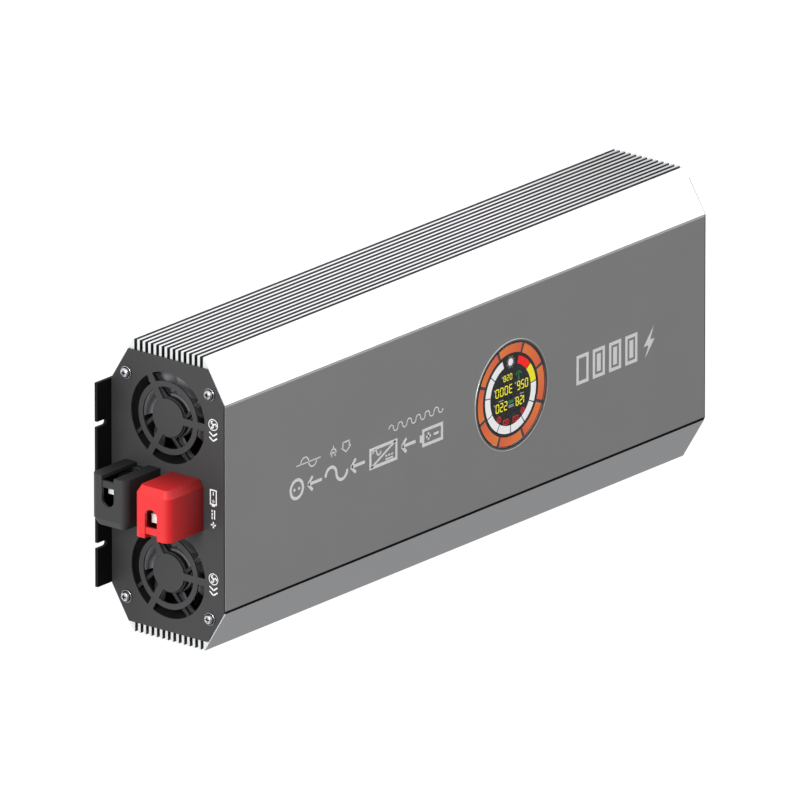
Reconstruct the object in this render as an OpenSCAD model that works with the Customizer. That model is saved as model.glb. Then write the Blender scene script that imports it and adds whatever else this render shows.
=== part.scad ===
// Power inverter: finned aluminium case, two end fans, covered DC terminals, round display.
// Millimetres. +Z up, +X towards the fan and DC terminal end, origin at the centre of the
// base plate's underside.

/* [Case] */
// Length over both end plates
body_l = 440; // [430:1:470]
// Full width over the fins
body_w = 177.9; // [177:0.1:184]
// Height from the base plate's underside to the top panel
body_h = 86; // [86:0.5:90]
// Width of the flat top between the shoulders
flat_w = 126.5; // [126:0.1:127]
// Height of each sloping shoulder
shoulder_h = 15.7; // [15:0.1:16]
// Thickness of the end plates
end_t = 1.2; // [1:0.1:1.5]
// Depth of the fins
fin_d = 6.6; // [6:0.1:7]
// Distance from fin to fin
fin_pitch = 4.07; // [4:0.01:4.1]
// Width of the gap between fins
fin_gap = 2.2; // [1.8:0.1:2.4]
// Width of the open joint on the left of the top panel
panel_joint = 1.5; // [0.8:0.1:1.6]
// Width of the close joint on the right of the top panel
close_joint = 0.2; // [0.1:0.1:0.6]

/* [Base plate] */
// Thickness of the base plate
base_t = 2; // [2:0.1:2.2]
// Width of the base plate
base_w = 124; // [120:1:126]
// How far the base plate runs out past each end plate
flange_l = 12.3; // [11:0.1:20]
// Distance between the two slots of one flange
slot_gap = 73.6; // [60:0.1:90]
// Width of a flange slot
slot_w = 3.4; // [3.2:0.1:5]
// Depth of a flange slot
slot_d = 8.2; // [7:0.1:10]

/* [Fans] */
// Distance of each fan's axis from the middle
fan_y = 47; // [46.5:0.1:47.5]
// Height of the fan axes
fan_z = 44.4; // [44:0.1:44.6]
// Screw hole spacing of the fan frame
fan_holes = 50; // [50:0.1:50.2]
// Depth of the fan frame
fan_t = 25; // [25:0.5:26]
// Radius of the blade tips
blade_r = 26.8; // [26:0.1:27]
// Number of blades
blades = 7; // [5:1:9]

/* [DC terminals] */
// Height of the positive terminal
plus_z = 57.8; // [57:0.1:58.5]
// Height of the negative terminal
minus_z = 25.8; // [25:0.1:26.5]
// Width of a terminal cover
cover_w = 26; // [25.8:0.1:26.4]
// Height of a terminal cover
cover_h = 30.8; // [30.6:0.1:31.4]
// How far a cover stands out from the end plate
cover_x = 31.7; // [31:0.1:36]

/* [Display] */
// Position of the display along the case
display_x = -40.5; // [-60:0.5:0]
// Radius of the dark window
window_r = 31.3; // [31:0.1:31.5]

/* [Outlet end] */
// Height of the sockets and of the rocker switch
outlet_z = 52; // [51:0.5:53]
// Socket positions across the end plate
outlet_y = [36, -18];
// Rocker switch position across the end plate
switch_y = -60; // [-61:0.5:-59]
// Tilt of the rocker in its off state
rocker_tilt = 10; // [6:1:11]

/* [Hidden] */
$fn = 48;
fit = 0.05;
half_l = body_l / 2;
inner_l = half_l - end_t;
half_w = body_w / 2;
lip_y = flat_w / 2;
root_y = half_w - fin_d;
wall_y = root_y - 3.5;
low_z = base_t;
slope = shoulder_h / (half_w - lip_y);
mid_z = (body_h + low_z) / 2;
boss_y = 68;
boss_high = body_h - 10.5;
boss_low = low_z + 11.5;
board_z = 14;
board_t = 1.6;
board_top = board_z + board_t;
board_half = 64;
pad_y = 66;
fan_x = inner_l - fan_t;
term_z = [plus_z, minus_z];
term_side = [1, -1];

// Draws a profile given in Y and Z and runs it along X
module along_x(x, l)
    translate([x, 0, 0]) rotate([90, 0, 90]) linear_extrude(height = l) children();

// Round bar along X
module rod_x(x, l, r, y, z)
    translate([x, y, z]) rotate([0, 90, 0]) cylinder(h = l, r = r);

// Round bar along Y
module rod_y(x, y, z, l, r)
    translate([x, y, z]) rotate([-90, 0, 0]) cylinder(h = l, r = r);

// Box from its low corner to its high corner
module box(a, b)
    translate(a) cube([b[0] - a[0], b[1] - a[1], b[2] - a[2]]);

// Repeats for the left-hand side and mirrors for the right
module both_sides()
    for (side = [0, 1]) mirror([0, side, 0]) children();

// Pan head with a cross recess and a shank, head upwards from z = 0
module pan_screw(head_r, head_h, shank_r, shank_l) {
    difference() {
        rotate_extrude() polygon([
            [0, -shank_l], [shank_r, -shank_l], [shank_r, 0], [head_r, 0],
            [head_r, head_h * 0.45], [head_r * 0.8, head_h * 0.85],
            [head_r * 0.45, head_h], [0, head_h]]);
        for (a = [0, 90]) rotate([0, 0, a])
            translate([-head_r * 0.5, -head_r * 0.12, head_h * 0.4])
                cube([head_r, head_r * 0.24, head_h]);
    }
}

// ---- Case ----

// Height of the outer shoulder line at a distance y from the middle
function shoulder_z(y) = body_h - (y - lip_y) * slope;
// Same line moved inward by the wall of the shoulder
function inner_z(y) = shoulder_z(y) - 3.5;

module heat_sink_profile() {
    difference() {
        polygon([
            [lip_y, body_h], [half_w, body_h - shoulder_h], [half_w, low_z + shoulder_h],
            [lip_y, low_z], [48, low_z], [48, low_z + 3], [62.4, low_z + 3],
            [wall_y, low_z + body_h - inner_z(wall_y)], [wall_y, inner_z(wall_y)],
            [67.5, inner_z(67.5)], [67.5, body_h - 6.1], [58, body_h - 6.1],
            [58, body_h - 4.1], [64.6, body_h - 4.1], [64.6, body_h - 2.4],
            [lip_y, body_h - 2.4]]);
        for (k = [-6 : 6])
            translate([root_y, mid_z + k * fin_pitch - fin_gap / 2])
                square([fin_d + 1, fin_gap]);
    }
    for (z = [boss_high, boss_low]) {
        translate([boss_y, z]) circle(r = 2.8);
        translate([boss_y - 1.4, z > mid_z ? z : z - 6.2]) square([2.8, 6.2]);
    }
}

module heat_sink() {
    difference() {
        along_x(-inner_l, 2 * inner_l) heat_sink_profile();
        for (z = [boss_high, boss_low]) rod_x(-inner_l - 1, body_l, 1.5 + fit, boss_y, z);
        for (x = [-180, 0, 170]) translate([x, 55, low_z - 1]) cylinder(h = 6, r = 1.75 + fit);
        for (x = [-140, -45, 45, 140]) rod_y(x, wall_y - 1, 56, 4.2, 1.9 + fit);
    }
}

module heat_sink_right() color("silver") mirror([0, 1, 0]) heat_sink();
module heat_sink_left() color("silver") heat_sink();

module top_panel() color("dimgray") {
    left = lip_y - panel_joint;
    right = lip_y - close_joint;
    difference() {
        along_x(-inner_l, 2 * inner_l) polygon([
            [-right, body_h], [left, body_h], [left, body_h - 2.5], [64.4, body_h - 2.5],
            [64.4, body_h - 4.1], [58.2, body_h - 4.1], [58.2, body_h - 3],
            [-58.2, body_h - 3], [-58.2, body_h - 4.1], [-64.4, body_h - 4.1],
            [-64.4, body_h - 2.5], [-right, body_h - 2.5]]);
        translate([display_x, 0, body_h - 6]) cylinder(h = 8, r = window_r + 0.9, $fn = 96);
    }
}

module base_plate() color("black") {
    half = half_l + flange_l;
    difference() {
        linear_extrude(height = base_t) difference() {
            square([2 * half, base_w], center = true);
            for (sx = [-1, 1], sy = [-1, 1])
                translate([sx * (half - slot_d + slot_w / 2), sy * slot_gap / 2]) {
                    circle(r = slot_w / 2);
                    translate([sx * slot_d / 2, 0]) square([slot_d, slot_w], center = true);
                }
            for (x = [-190, 0, 165], y = [-38, 38]) translate([x, y]) circle(r = 2.2);
            for (y = [-30, 30]) translate([185, y]) circle(r = 1.6);
        }
        for (x = [-180, 0, 170], y = [-55, 55]) translate([x, y, 0])
            cylinder(h = base_t, r1 = 3.6 + fit, r2 = 1.75 + fit);
    }
}

module base_screws() color("darkgray")
    for (x = [-180, 0, 170], y = [-55, 55]) translate([x, y, 0]) {
        cylinder(h = base_t, r1 = 3.6, r2 = 1.75);
        translate([0, 0, base_t]) cylinder(h = 2.8, r = 1.75);
    }

module end_outline()
    polygon([
        [62.4, body_h - 0.4], [82.7, shoulder_z(82.7) - 0.8], [82.7, low_z + 12.7],
        [62.4, low_z + 0.3], [-62.4, low_z + 0.3], [-82.7, low_z + 12.7],
        [-82.7, shoulder_z(82.7) - 0.8], [-62.4, body_h - 0.4]]);

module grille_openings() {
    difference() {
        union() {
            difference() {
                circle(r = 27.5);
                circle(r = 22);
            }
            difference() {
                circle(r = 18.6);
                circle(r = 11.4);
            }
        }
        for (a = [90, 210, 330]) rotate([0, 0, a]) translate([0, -2.1]) square([30, 4.2]);
    }
}

module end_screw_holes()
    for (y = [-boss_y, boss_y], z = [boss_high, boss_low]) translate([y, z]) circle(r = 1.65);

module fan_end_plate() color("slategray")
    along_x(inner_l, end_t) difference() {
        end_outline();
        for (y = [-fan_y, fan_y]) translate([y, fan_z]) grille_openings($fn = 96);
        for (k = [0, 1]) translate([term_side[k] * 1, term_z[k]])
            square([24.5, 21.6], center = true);
        end_screw_holes();
    }

module outlet_end_plate() color("slategray")
    along_x(-half_l, end_t) difference() {
        end_outline();
        for (y = outlet_y) translate([y, outlet_z]) {
            circle(r = 22.6, $fn = 96);
            for (s = [-1, 1]) translate([s * 20.5, s * 20.5]) circle(r = 1.6);
        }
        translate([switch_y, outlet_z]) square([21, 29.4], center = true);
        for (k = [-9 : 9]) translate([k * 6 - 1.5, 8]) square([3, 14]);
        translate([70, 40]) circle(r = 3.1);
        end_screw_holes();
    }

module at_end_screws()
    for (e = [0, 180], y = [-boss_y, boss_y], z = [boss_high, boss_low])
        rotate([0, 0, e]) translate([half_l, y, z]) rotate([0, 90, 0]) children();

module end_plate_washers() color("silver") at_end_screws() difference() {
    cylinder(h = 0.8, r = 3.75);
    translate([0, 0, -1]) cylinder(h = 3, r = 1.65);
}

module end_plate_screws() color("gainsboro") at_end_screws()
    translate([0, 0, 0.8]) pan_screw(2.9, 2.1, 1.5, 12);

// ---- Fans ----

// Fan axis, from the back of the end plate inward along -X
module at_fan(y)
    translate([inner_l, y, fan_z]) rotate([90, 0, 90]) mirror([0, 0, 1]) children();

module fan_outline() {
    circle(r = 30);
    for (a = [45 : 90 : 315]) rotate([0, 0, a]) {
        translate([0, -4]) square([fan_holes / 2 * sqrt(2), 8]);
        translate([fan_holes / 2 * sqrt(2), 0]) circle(r = 4);
    }
}

module fan_frame(y) at_fan(y) difference() {
    union() {
        difference() {
            union() {
                cylinder(h = fan_t, r = 30, $fn = 96);
                linear_extrude(height = 3.5) fan_outline($fn = 96);
                translate([0, 0, fan_t - 3.5]) linear_extrude(height = 3.5)
                    fan_outline($fn = 96);
            }
            translate([0, 0, -1]) cylinder(h = fan_t + 2, r = 28, $fn = 96);
        }
        cylinder(h = 2.5, r = 12.4);
        cylinder(h = 18, r = 3.5);
        for (k = [0 : 3]) rotate([0, 0, k * 90 + 8]) translate([11, 0, 0])
            rotate([0, 0, 36]) translate([0, -1, 0]) cube([19.4, 2, 2.5]);
    }
    for (a = [45 : 90 : 315]) rotate([0, 0, a])
        translate([fan_holes / 2 * sqrt(2), 0, -1]) cylinder(h = fan_t + 2, r = 2.15);
    translate([0, 0, 1.5]) cylinder(h = 20, r = 1.54);
}

module fan_frame_left() color("dimgray") fan_frame(fan_y);
module fan_frame_right() color("dimgray") fan_frame(-fan_y);

module fan_rotor(y) at_fan(y) {
    difference() {
        translate([0, 0, 4]) cylinder(h = 18, r = 13);
        translate([0, 0, 3]) cylinder(h = 17.5, r = 11.2);
    }
    translate([0, 0, 3]) cylinder(h = 18, r = 1.5);
    intersection() {
        difference() {
            translate([0, 0, 4.5]) cylinder(h = 17, r = blade_r);
            translate([0, 0, 3]) cylinder(h = 20, r = 12.5);
        }
        for (k = [0 : blades - 1]) rotate([0, 0, k * 360 / blades])
            translate([0, 0, 13]) rotate([48, 0, 0])
                translate([9, -9, -0.75]) cube([20, 18, 1.5]);
    }
}

module fan_rotor_left() color("gray") fan_rotor(fan_y);
module fan_rotor_right() color("gray") fan_rotor(-fan_y);

module fan_stators() color("peru") for (y = [-fan_y, fan_y]) at_fan(y) difference() {
    translate([0, 0, 6]) cylinder(h = 12, r = 10.2);
    translate([0, 0, 5]) cylinder(h = 14, r = 3.5 + fit);
}

module fan_bracket() color("lightgray") difference() {
    union() {
        along_x(fan_x - 1.5, 1.5) polygon([
            [-46, base_t], [46, base_t], [46, 7], [61, 7], [61, 20], [77.5, 20], [77.5, 72],
            [-77.5, 72], [-77.5, 20], [-61, 20], [-61, 7], [-46, 7]]);
        box([fan_x - 16, -46, base_t], [fan_x, 46, base_t + 1.5]);
    }
    for (y = [-fan_y, fan_y]) {
        rod_x(fan_x - 3, 6, 28, y, fan_z);
        for (a = [45 : 90 : 315])
            rod_x(fan_x - 3, 6, 2, y + fan_holes / 2 * sqrt(2) * cos(a),
                fan_z + fan_holes / 2 * sqrt(2) * sin(a));
    }
    box([fan_x - 3, -14, 12], [fan_x + 3, 14, 66]);
    for (y = [-30, 30]) translate([185, y, 0]) cylinder(h = 6, r = 1.6);
}

module fan_screws() color("darkgray")
    for (y = [-fan_y, fan_y], dy = [-1, 1], dz = [-1, 1])
        translate([fan_x - 1.5, y + dy * fan_holes / 2, fan_z + dz * fan_holes / 2])
            rotate([0, -90, 0]) pan_screw(3.4, 2.2, 1.9, 14);

module bracket_screws() color("darkgray")
    for (y = [-30, 30]) translate([185, y, base_t + 1.5]) pan_screw(2.9, 2, 1.5, 3.3);

// ---- DC terminals ----

// Bar, bolt, washer and nut lie towards +Y on the positive side, mirrored on the negative
module at_terminal(k)
    translate([half_l, 0, term_z[k]]) mirror([0, k, 0]) children();

module terminal_block() color("black") difference() {
    union() {
        box([inner_l - 6, -15, 10], [inner_l, 15, 73]);
        for (k = [0, 1]) at_terminal(k) box([-end_t, -11.1, -10.7], [3, 13.1, 10.7]);
    }
    for (k = [0, 1]) at_terminal(k) box([-20, 2.2, -6], [20, 8.2, 6]);
}

module terminal_bar(k) at_terminal(k) difference() {
    box([-24, 2.2, -6], [24, 8.2, 6]);
    rod_y(13, 0, 0, 10, 3 + fit);
    rod_y(-19, 0, 0, 10, 2 + fit);
}

module terminal_bar_plus() color("silver") terminal_bar(0);
module terminal_bar_minus() color("silver") terminal_bar(1);

module terminal_bolts() color("darkgray") for (k = [0, 1]) at_terminal(k) {
    rod_y(13, -6, 0, 14.2, 3);
    translate([13, 8.2, 0]) rotate([-90, 0, 0]) cylinder(h = 4, r = 5.77, $fn = 6);
}

module terminal_washers() color("silver") for (k = [0, 1]) at_terminal(k) difference() {
    rod_y(13, 0.6, 0, 1.6, 6);
    rod_y(13, -1, 0, 6, 3 + fit);
}

module terminal_nuts() color("gainsboro") for (k = [0, 1]) at_terminal(k) difference() {
    translate([13, -4.4, 0]) rotate([-90, 0, 0]) cylinder(h = 5, r = 5.77, $fn = 6);
    rod_y(13, -5, 0, 8, 3 + fit);
}

// Cover outline in X and Z, moved inward by m, with rounded outer corners
module cover_outline(m, r) {
    l = cover_x - m;
    h = cover_w / 2 - m;
    translate([0.3, -h]) square([l - r - 0.3, 2 * h]);
    translate([0.3, -h + r]) square([l - 0.3, 2 * (h - r)]);
    for (s = [-1, 1]) translate([l - r, s * (h - r)]) circle(r = r);
}

module cover(k) at_terminal(k) difference() {
    union() {
        rotate([90, 0, 0]) translate([0, 0, -cover_h / 2])
            linear_extrude(height = cover_h - 4.6) cover_outline(0, 5);
        hull() {
            rotate([90, 0, 0]) translate([0, 0, cover_h / 2 - 4.6])
                linear_extrude(height = 0.1) cover_outline(0, 5, $fn = 32);
            rotate([90, 0, 0]) translate([0, 0, cover_h / 2 - 0.1])
                linear_extrude(height = 0.1) cover_outline(2.7, 3, $fn = 32);
        }
    }
    rotate([90, 0, 0]) translate([0, 0, -cover_h / 2 + 2])
        linear_extrude(height = cover_h - 6) cover_outline(2, 3);
    box([-1, -cover_h / 2 + 4, -cover_w / 2 + 2], [4, cover_h / 2 - 2, cover_w / 2 - 2]);
    box([cover_x - 5, 1.8, -4.5], [cover_x + 1, 8.6, 4.5]);
    box([cover_x - 5, 12.6, -4.5], [cover_x + 1, cover_h / 2 + 1, 4.5]);
    box([cover_x - 0.5, 8, -4.5], [cover_x + 1, 13, 4.5]);
    rod_x(cover_x - 5, 6, 4.5, 1.8, 0);
    box([-1, cover_h / 2 - 3, -4.5], [cover_x - 4, cover_h / 2 + 1, 4.5]);
}

module terminal_cover_plus() color("red") cover(0);
module terminal_cover_minus() color("dimgray") cover(1);

module bus_bars() color("orange") for (k = [0, 1]) at_terminal(k) difference() {
    union() {
        box([-64, 8.2, -6], [-14, 10.2, 6]);
        box([-64, 8.2, board_top - term_z[k]], [-52, 10.2, 6]);
        box([-64, 8.2, board_top - term_z[k]], [-52, 22, board_top - term_z[k] + 2]);
    }
    rod_y(-19, 0, 0, 14, 2 + fit);
    translate([-58, 16.5, board_top - term_z[k] - 1]) cylinder(h = 5, r = 2);
}

module bus_screws() color("silver") for (k = [0, 1]) at_terminal(k) {
    translate([-19, 10.2, 0]) rotate([-90, 0, 0]) pan_screw(4, 2.4, 2, 7.5);
    translate([-58, 16.5, board_top - term_z[k] + 2]) pan_screw(3.8, 2.4, 1.9, 3.4);
}

// ---- Display ----

module display_bezel() color("lightgray") translate([display_x, 0, 0])
    rotate_extrude($fn = 96) polygon([
        [window_r + 0.05, body_h - 6], [window_r + 0.85, body_h - 6],
        [window_r + 0.85, body_h], [window_r + 2.2, body_h],
        [window_r + 2.2, body_h + 0.15], [window_r + 2, body_h + 0.35],
        [window_r + 0.05, body_h + 0.35]]);

module display_window() color("black", 0.6)
    translate([display_x, 0, body_h - 1.4]) cylinder(h = 1.6, r = window_r, $fn = 96);

module display_module() color("darkslategray")
    translate([display_x, 0, body_h - 8.4]) cylinder(h = 7, r = window_r, $fn = 96);

module display_board() color("green")
    translate([display_x, 0, body_h - 10]) difference() {
        translate([-37, -37, 0]) cube([74, 74, 1.6]);
        for (x = [-32, 32], y = [-32, 32]) translate([x, y, -1]) cylinder(h = 4, r = 1.6);
    }

module display_pillars() color("silver")
    for (x = [-32, 32], y = [-32, 32]) translate([display_x + x, y, body_h - 8.4])
        difference() {
            cylinder(h = 5.4, r = 2.6);
            translate([0, 0, -1]) cylinder(h = 5, r = 1.3 + fit);
        }

module display_screws() color("darkgray")
    for (x = [-32, 32], y = [-32, 32]) translate([display_x + x, y, body_h - 10])
        rotate([180, 0, 0]) pan_screw(2.4, 1.6, 1.3, 5);

// ---- Electronics ----

module main_board() color("darkgreen") difference() {
    box([-205, -board_half, board_z], [186, board_half, board_top]);
    for (x = [-190, 0, 165], y = [-38, 38]) translate([x, y, 0]) cylinder(h = 30, r = 1.6);
    for (y = [-16.5, 16.5]) translate([162, y, 0]) cylinder(h = 30, r = 1.95);
}

module board_pillars() color("silver")
    for (x = [-190, 0, 165], y = [-38, 38]) translate([x, y, 0]) difference() {
        union() {
            cylinder(h = base_t, r = 2.15);
            translate([0, 0, base_t]) cylinder(h = board_z - base_t, r = 3.5);
        }
        translate([0, 0, board_z - 8]) cylinder(h = 9, r = 1.5 + fit);
    }

module board_screws() color("darkgray")
    for (x = [-190, 0, 165], y = [-38, 38]) translate([x, y, board_top])
        pan_screw(2.9, 2, 1.5, 7);

module at_transformers()
    for (x = [115, 60, 5]) translate([x, 0, board_top]) children();

module transformer_cores() color("dimgray") at_transformers() difference() {
    box([-23, -26, 8], [23, 26, 28]);
    for (s = [-1, 1]) translate([0, s * 13.5, 18]) cube([28, 10, 40], center = true);
}

module transformer_windings() color("gold") at_transformers() difference() {
    box([-13.8, -18, 0], [13.8, 18, 36]);
    box([-15, -8.6, 7.9], [15, 8.6, 28.1]);
}

module input_capacitors() color("midnightblue")
    for (x = [140, 120, 100, 80], y = [-37, 37]) translate([x, y, board_top]) {
        cylinder(h = 32, r = 8);
        translate([0, 0, 32]) cylinder(h = 0.6, r = 7);
    }

module bus_capacitors() color("navy")
    for (x = [-45, -80], y = [-17, 17]) translate([x, y, board_top]) {
        cylinder(h = 42, r = 15);
        translate([0, 0, 42]) cylinder(h = 0.8, r = 13.6);
    }

module output_choke_core() color("darkolivegreen")
    translate([-135, 0, board_top + 4]) rotate_extrude($fn = 96)
        translate([13, 0]) square([12, 18]);

module output_choke_winding() color("chocolate") translate([-135, 0, board_top])
    difference() {
        rotate_extrude($fn = 96) difference() {
            translate([10, 1]) square([18, 24]);
            translate([13 - 2 * fit, 4 - 2 * fit]) square([12 + 4 * fit, 18 + 4 * fit]);
        }
        for (a = [0, 180]) rotate([0, 0, a - 12]) translate([9, 0, 0]) cube([22, 9, 30]);
    }

module power_transistors() color("black") both_sides()
    for (k = [-5 : 5]) translate([k * 27, 0, 0]) {
        box([-8, 60.7, 27], [8, 65.7, 48]);
        for (s = [-1, 0, 1])
            box([s * 5.45 - 0.6, 62.3, board_top], [s * 5.45 + 0.6, 62.9, 27.5]);
    }

module insulator_strips() color("lightsteelblue") both_sides() difference() {
    box([-150, pad_y - 0.3, 25], [150, pad_y, 50]);
    for (k = [-5 : 2 : 3]) rod_y(k * 27 + 13.5, 60, 37, 10, 1.6);
}

module heat_spreaders() color("silver") both_sides() difference() {
    box([-155, pad_y, 24], [155, wall_y, 62]);
    for (x = [-140, -45, 45, 140]) {
        rod_y(x, pad_y - 1, 56, 5, 3.6);
        rod_y(x, pad_y - 1, 56, 20, 1.9 + fit);
    }
    for (k = [-5 : 2 : 3]) rod_y(k * 27 + 13.5, 60, 37, 14, 1.5);
}

module spreader_screws() color("darkgray") both_sides()
    for (x = [-140, -45, 45, 140]) translate([x, pad_y + 4, 56])
        rotate([90, 0, 0]) pan_screw(3.4, 3, 1.9, 11.8);

module clamp_strips() color("gainsboro") both_sides() difference() {
    box([-150, 59.2, 33], [150, 60.7, 41]);
    for (k = [-5 : 2 : 3]) rod_y(k * 27 + 13.5, 58, 37, 5, 1.6);
}

module clamp_screws() color("darkgray") both_sides()
    for (k = [-5 : 2 : 3]) translate([k * 27 + 13.5, 59.2, 37])
        rotate([90, 0, 0]) pan_screw(2.8, 2, 1.45, 13);

module control_card() color("green") {
    box([-112, -46, board_top], [-30, -44.4, 62]);
    box([-98, -44.4, 34], [-84, -42, 48]);
    box([-66, -44.4, 30], [-46, -42.4, 40]);
}

module input_fuses() color("orangered")
    for (y = [-42, -27, 27, 42]) translate([174, y, board_top]) {
        box([-3, -6, 0], [3, 6, 5]);
        box([-2, -5, 5], [2, 5, 12]);
    }

module output_leads() color("firebrick")
    for (k = [0, 1]) {
        y = outlet_y[k];
        for (s = [-1, 1]) {
            translate([-193, y + s * 6, board_top]) cylinder(h = outlet_z - board_top, r = 1.6);
            translate([-193, y + s * 6, outlet_z]) sphere(r = 1.6);
            rod_x(-196, 3, 1.6, y + s * 6, outlet_z);
        }
    }

// ---- Outlet end ----

module outlet_flange() {
    square([50, 42], center = true);
    square([42, 50], center = true);
    for (a = [-1, 1], b = [-1, 1]) translate([a * 21, b * 21]) circle(r = 4);
}

module outlet_body(y) difference() {
    union() {
        along_x(-half_l - 3, 3) translate([y, outlet_z]) outlet_flange();
        rod_x(-half_l, 24, 22.5, y, outlet_z, $fn = 96);
    }
    rod_x(-half_l - 4, 18.5, 19.8, y, outlet_z, $fn = 96);
    for (s = [-1, 1]) {
        rod_x(-half_l + 14, 8, 2.8, y + s * 9.5, outlet_z);
        box([-half_l - 1, y - 3, outlet_z + s * 19.3 - 1.2],
            [-half_l + 14, y + 3, outlet_z + s * 19.3 + 1.2]);
        rod_x(-half_l - 4, 10, 1.6, y + s * 20.5, outlet_z + s * 20.5);
    }
}

module outlet_body_a() color("dimgray") outlet_body(outlet_y[0]);
module outlet_body_b() color("dimgray") outlet_body(outlet_y[1]);

module outlet_contacts() color("gold") for (y = outlet_y) {
    for (s = [-1, 1]) {
        difference() {
            rod_x(-half_l + 15, 7, 2.75, y + s * 9.5, outlet_z);
            rod_x(-half_l + 14, 9, 2.45, y + s * 9.5, outlet_z);
        }
        box([-half_l, y - 2.8, outlet_z + s * 19.3 - 1],
            [-half_l + 14, y + 2.8, outlet_z + s * 19.3 + 0.9]);
    }
}

module outlet_screws() color("silver")
    for (y = outlet_y, s = [-1, 1])
        translate([-half_l - 3, y + s * 20.5, outlet_z + s * 20.5])
            rotate([0, -90, 0]) pan_screw(2.7, 1.6, 1.5, 5.5);

module switch_body() color("black") difference() {
    union() {
        box([-half_l - 2, switch_y - 12.5, outlet_z - 15.5],
            [-half_l, switch_y + 12.5, outlet_z + 15.5]);
        box([-half_l, switch_y - 10.4, outlet_z - 14.6],
            [-half_l + 24, switch_y + 10.4, outlet_z + 14.6]);
    }
    box([-half_l - 3, switch_y - 9.1, outlet_z - 13.5],
        [-half_l + 13, switch_y + 9.1, outlet_z + 13.5]);
    rod_y(-half_l + 3, switch_y - 9.9, outlet_z, 19.8, 1.54);
}

module rocker() color("dimgray")
    translate([-half_l + 3, switch_y, outlet_z]) rotate([0, rocker_tilt, 0]) {
        rotate([90, 0, 0]) translate([0, 0, -8.8]) linear_extrude(height = 17.6) polygon([
            [-6, 12.2], [-4.6, 4], [-4.3, 0], [-4.6, -4], [-6, -12.2],
            [-0.5, -12.2], [3, -4], [3, 4], [-0.5, 12.2]]);
        rod_y(0, -9.7, 0, 19.4, 1.5);
    }

module switch_tabs() color("gold")
    for (a = [-1, 1], b = [-1, 1]) translate([-half_l + 24, switch_y + a * 5, outlet_z + b * 8])
        box([0, -0.4, -3.1], [8, 0.4, 3.1]);

module earth_stud() color("gold") {
    rod_x(-half_l - 14, 8.6, 3, 70, 40);
    rod_x(-half_l - 5.4, 13.4, 2.8, 70, 40);
}

module earth_nuts() color("gainsboro")
    for (x = [-half_l - 5, -half_l + end_t]) difference() {
        translate([x, 70, 40]) rotate([0, 90, 0]) cylinder(h = 5, r = 5.77, $fn = 6);
        rod_x(x - 1, 8, 2.8 + fit, 70, 40);
    }

base_plate();
heat_sink_left();
heat_sink_right();
top_panel();
fan_end_plate();
outlet_end_plate();
end_plate_screws();
end_plate_washers();
base_screws();
fan_frame_left();
fan_frame_right();
fan_rotor_left();
fan_rotor_right();
fan_stators();
fan_bracket();
fan_screws();
bracket_screws();
terminal_block();
terminal_bar_plus();
terminal_bar_minus();
terminal_bolts();
terminal_washers();
terminal_nuts();
terminal_cover_plus();
terminal_cover_minus();
bus_bars();
bus_screws();
display_bezel();
display_window();
display_module();
display_board();
display_pillars();
display_screws();
main_board();
board_pillars();
board_screws();
transformer_cores();
transformer_windings();
input_capacitors();
bus_capacitors();
output_choke_core();
output_choke_winding();
power_transistors();
insulator_strips();
heat_spreaders();
spreader_screws();
clamp_strips();
clamp_screws();
control_card();
input_fuses();
output_leads();
outlet_body_a();
outlet_body_b();
outlet_contacts();
outlet_screws();
switch_body();
rocker();
switch_tabs();
earth_stud();
earth_nuts();
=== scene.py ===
import bmesh
import bpy
from math import asin, cos, degrees, pi, radians, sin, sqrt
from mathutils import Matrix, Vector


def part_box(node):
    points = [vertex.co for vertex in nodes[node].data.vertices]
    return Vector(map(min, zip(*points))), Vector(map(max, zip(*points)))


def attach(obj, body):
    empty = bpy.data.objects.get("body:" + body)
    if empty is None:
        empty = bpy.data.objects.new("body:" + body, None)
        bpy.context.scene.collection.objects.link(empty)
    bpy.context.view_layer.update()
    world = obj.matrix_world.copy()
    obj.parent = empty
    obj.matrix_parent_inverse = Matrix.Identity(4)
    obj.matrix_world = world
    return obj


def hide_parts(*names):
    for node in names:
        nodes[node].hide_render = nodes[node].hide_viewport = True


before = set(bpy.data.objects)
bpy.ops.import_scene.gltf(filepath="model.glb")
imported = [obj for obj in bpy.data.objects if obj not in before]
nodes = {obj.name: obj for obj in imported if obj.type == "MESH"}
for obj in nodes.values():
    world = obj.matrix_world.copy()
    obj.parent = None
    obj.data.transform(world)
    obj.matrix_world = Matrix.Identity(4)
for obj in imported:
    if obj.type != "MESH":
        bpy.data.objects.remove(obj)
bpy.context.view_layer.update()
mm = 0.001

# ---- Studio ----
# A long lens looks down on the fan end from the right-hand side, rolled so that -Y is up in the
# view. The case stands on a white sweep, lit softly from its right-hand side and from ahead.
turn, lift, reach = radians(50.710), radians(19.193), 17.975
right = Vector((-cos(turn), 0, sin(turn)))
up = Vector((-sin(turn) * sin(lift), -cos(lift), -cos(turn) * sin(lift)))
back = right.cross(up)
lens = bpy.data.cameras.new("camera")
lens.lens, lens.sensor_width = 1400, 36
lens.clip_start, lens.clip_end = 1, 60
camera = bpy.data.objects.new("camera", lens)
bpy.context.scene.collection.objects.link(camera)
place = Vector((0, 0, 46 * mm)) + back * reach - right * 7.78 * mm - up * 0.97 * mm
camera.matrix_world = Matrix.Translation(place) @ Matrix((right, up, back)).transposed().to_4x4()
bpy.context.scene.camera = camera
bpy.context.scene.view_settings.view_transform = "Standard"


def shade(red, green, blue):
    """A colour given 0 to 255, as the linear colour that the shaders take."""
    parts = [c / 255 for c in (red, green, blue)]
    return [c / 12.92 if c <= 0.04045 else ((c + 0.055) / 1.055) ** 2.4 for c in parts] + [1]


def wire(tree, source, target):
    """Joins two sockets, each given as a node and the name or number of its socket."""
    tree.links.new(source[0].outputs[source[1]], target[0].inputs[target[1]])


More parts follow.
